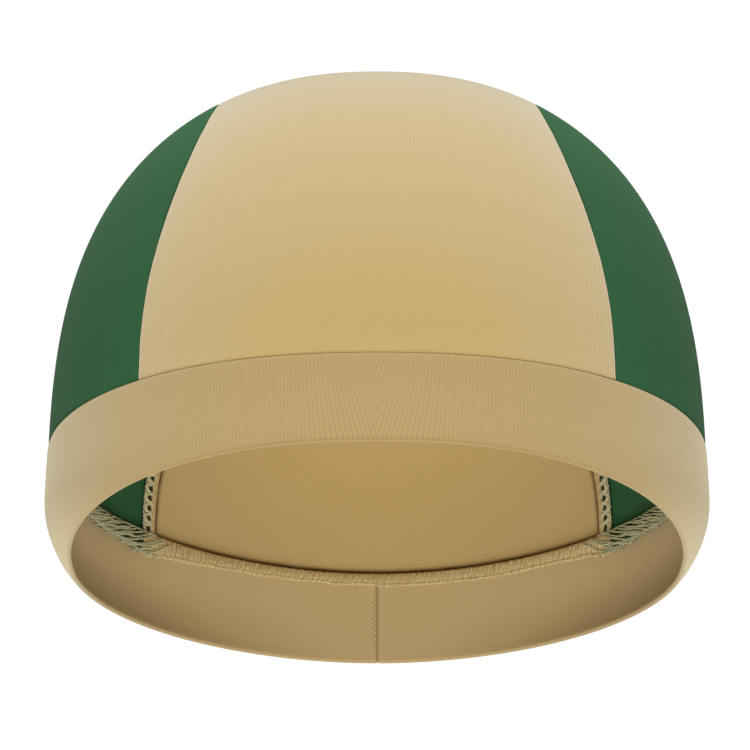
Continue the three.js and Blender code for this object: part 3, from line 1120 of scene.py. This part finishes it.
def joinStitches():
    level = np.linspace(0, band["back"], join["levels"])
    across = np.linspace(*join["across"])
    nought = np.zeros_like(level)
    starts = np.stack((nought, nought, level), axis=1)
    near = castOut(starts, np.tile((0.0, 1.0, 0.0), (len(level), 1)))
    face = np.stack([near + np.array((x, 0, 0)) for x in across], axis=1)
    seam = newSeam(near, face, across)
    count = int((join["to"] - join["from"]) / join["pitch"]) * join["stepsPerStitch"]
    turn = np.arange(count + 1) / join["stepsPerStitch"]
    along = join["from"] + join["pitch"] * turn
    inner = bandFace(along / band["back"])[1]
    sideways = join["sideways"] + join["swing"] * np.cos(2 * math.pi * turn)
    depth = band["joinFoldHeight"] - inner + join["above"]
    lines = filaments(seam, along, sideways, depth, join["strands"], join["spread"], join["seed"])
    piece = threadPiece("band_join_threads", lines, join["radius"], thread)
    return piece


pieces = [centrePanel(), sidePanel(1, "side_panel_left"), sidePanel(-1, "side_panel_right")]
print("panels laid out")
pieces += [clothBand(), joinStitches()]
print("band folded")
pieces += panelAllowance(1, "panel_seam_left")
pieces += panelAllowance(-1, "panel_seam_right")
print("panel seams sewn")
pieces += bandAllowance()
print("band seam sewn")
for piece in pieces:
    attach(piece, "root")

# The studio
studio = {
    "floor": -1.2,
    "floorSize": 12,
    "floorColour": (0.80, 0.80, 0.79),
    "floorRoughness": 0.9,
    "eye": (0.0, -0.71255, -0.3009),
    "target": (0.0, 0.0, -0.0669),
    "lens": 143.75,
    "shift": (-0.0027, -0.0411),
    "glow": 0.50,              # how strongly the white world lights the cap, and how it is seen
    "backdrop": 1.05,
    "lights": (                # name, place, size and power
        ("top light", (0.0, -0.35, 1.1), 1.0, 14.0),
        ("low light", (0.0, -0.75, -0.85), 0.7, 1.5),
        ("inner light", (0.0, -0.32, -0.5), 0.4, 1.68),
    ),
}


def aimed(thing, place, target):
    thing.location = place
    thing.rotation_euler = (Vector(target) - Vector(place)).to_track_quat("-Z", "Y").to_euler()


def softLight(name, place, size, power):
    light = bpy.data.lights.new(name, "AREA")
    light.shape = "DISK"
    light.size = size
    light.energy = power
    lamp = bpy.data.objects.new(name, light)
    bpy.context.scene.collection.objects.link(lamp)
    lamp.visible_camera = False
    aimed(lamp, place, studio["target"])


def setFloor():
    bm = bmesh.new()
    bmesh.ops.create_grid(bm, x_segments=1, y_segments=1, size=studio["floorSize"])
    bmesh.ops.translate(bm, verts=bm.verts, vec=(0, 0, studio["floor"]))
    mesh = bpy.data.meshes.new("floor")
    bm.to_mesh(mesh)
    bm.free()
    floor = bpy.data.objects.new("floor", mesh)
    bpy.context.scene.collection.objects.link(floor)
    plain = bpy.data.materials.new("paleFloor")
    plain.use_nodes = True
    shader = plain.node_tree.nodes["Principled BSDF"]
    shader.inputs["Base Color"].default_value = (*studio["floorColour"], 1)
    shader.inputs["Roughness"].default_value = studio["floorRoughness"]
    mesh.materials.append(plain)


def setWorld():
    # a white world, seen brighter than it lights the cap
    world = bpy.data.worlds.new("studio")
    bpy.context.scene.world = world
    world.use_nodes = True
    nodes, links = world.node_tree.nodes, world.node_tree.links
    nodes.clear()
    output = nodes.new("ShaderNodeOutputWorld")
    mix = nodes.new("ShaderNodeMixShader")
    path = nodes.new("ShaderNodeLightPath")
    links.new(path.outputs["Is Camera Ray"], mix.inputs["Fac"])
    for socket, strength in ((1, studio["glow"]), (2, studio["backdrop"])):
        white = nodes.new("ShaderNodeBackground")
        white.inputs["Color"].default_value = (1, 1, 1, 1)
        white.inputs["Strength"].default_value = strength
        links.new(white.outputs["Background"], mix.inputs[socket])
    links.new(mix.outputs["Shader"], output.inputs["Surface"])


def setCamera():
    data = bpy.data.cameras.new("camera")
    data.lens = studio["lens"]
    data.shift_x, data.shift_y = studio["shift"]
    camera = bpy.data.objects.new("camera", data)
    bpy.context.scene.collection.objects.link(camera)
    aimed(camera, studio["eye"], studio["target"])
    bpy.context.scene.camera = camera


setFloor()
setWorld()
for light in studio["lights"]:
    softLight(*light)
setCamera()
bpy.context.scene.view_settings.view_transform = "Standard"
print("studio set")
